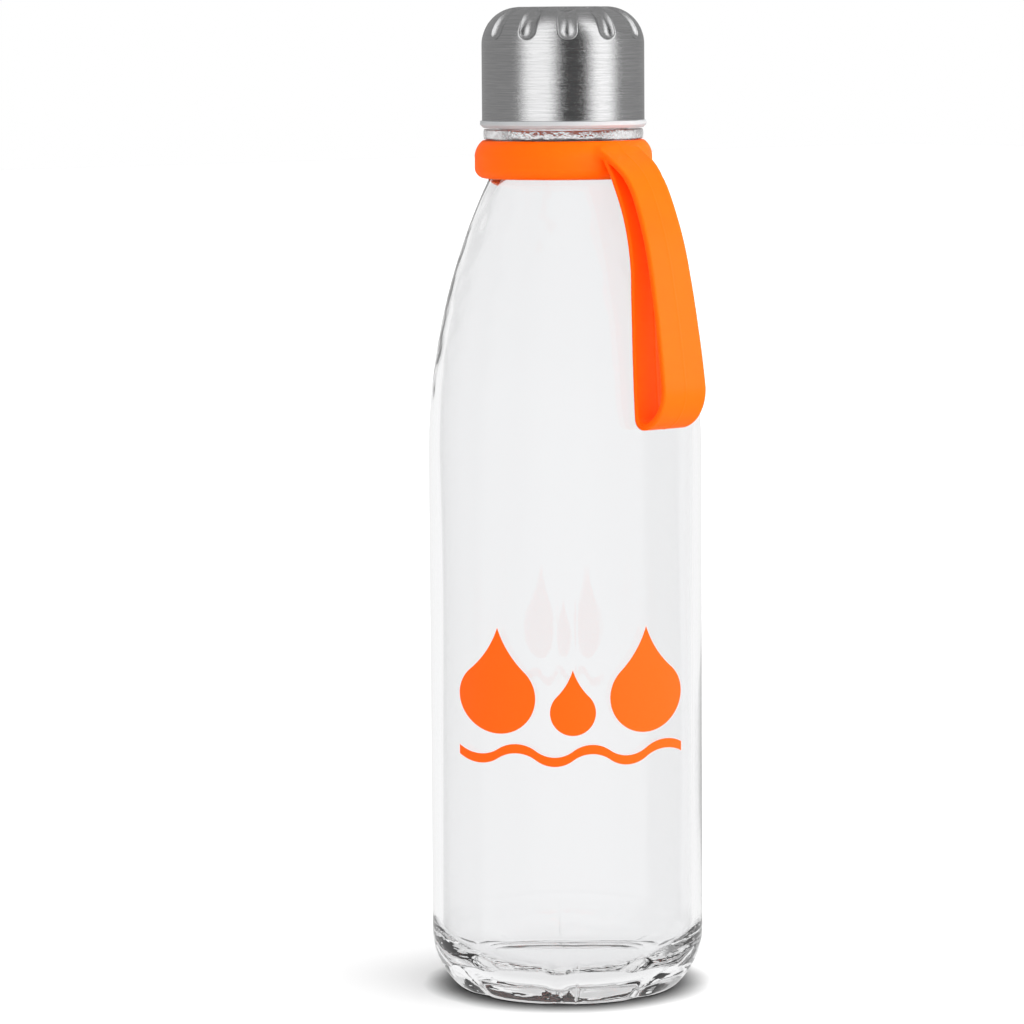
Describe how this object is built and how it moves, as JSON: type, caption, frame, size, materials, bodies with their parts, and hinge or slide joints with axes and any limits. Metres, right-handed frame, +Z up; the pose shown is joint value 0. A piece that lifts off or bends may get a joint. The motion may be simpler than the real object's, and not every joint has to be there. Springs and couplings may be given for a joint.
{
  "type": "water bottle",
  "caption": "Clear glass water bottle with a brushed steel screw cap and an orange silicone neck ring that carries a fold-back finger loop",
  "frame": {"origin": "on the bottle's axis, in the plane of its base", "axes": "+Z up along the bottle's axis, +X towards the carry loop, the printed front faces between +X and -Y"},
  "size_m": [0.0835, 0.0716, 0.257],
  "materials": {
    "clear_glass": "polished clear flint glass",
    "orange_ink": "fired enamel print, flat orange",
    "orange_silicone": "satin silicone rubber",
    "brushed_steel": "turned stainless steel with lines around the axis",
    "liner_plastic": "translucent natural polypropylene",
    "seal_silicone": "white silicone washer"
  },
  "bodies": {
    "bottle": {"glass_bottle": "clear_glass", "front_print": "orange_ink"},
    "ring": {"neck_ring": "orange_silicone"},
    "loop": {"carry_loop": "orange_silicone"},
    "seal": {"cap_seal": "seal_silicone"},
    "cap": {"cap_shell": "brushed_steel", "cap_liner": "liner_plastic"}
  },
  "joints": [
    {"name": "cap_turn_rise", "type": "slide", "parent": "bottle", "child": "seal", "axis": [0, 0, 1], "range_m": [0, 0.024]},
    {"name": "cap_turn", "type": "hinge", "parent": "seal", "child": "cap", "pos_m": [0, 0, 0.24], "axis": [0, 0, 1], "range_deg": [0, 1080]},
    {"name": "ring_spin", "type": "hinge", "parent": "bottle", "child": "ring", "pos_m": [0, 0, 0.2177], "axis": [0, 0, 1], "continuous": true},
    {"name": "loop_swing", "type": "hinge", "parent": "ring", "child": "loop", "pos_m": [0.0257, 0, 0.2167], "axis": [0, -1, 0], "range_deg": [0, 130]}
  ],
  "couplings": [
    {"joint": "cap_turn_rise", "follows": "cap_turn", "m_per_rad": 0.0012732}
  ]
}
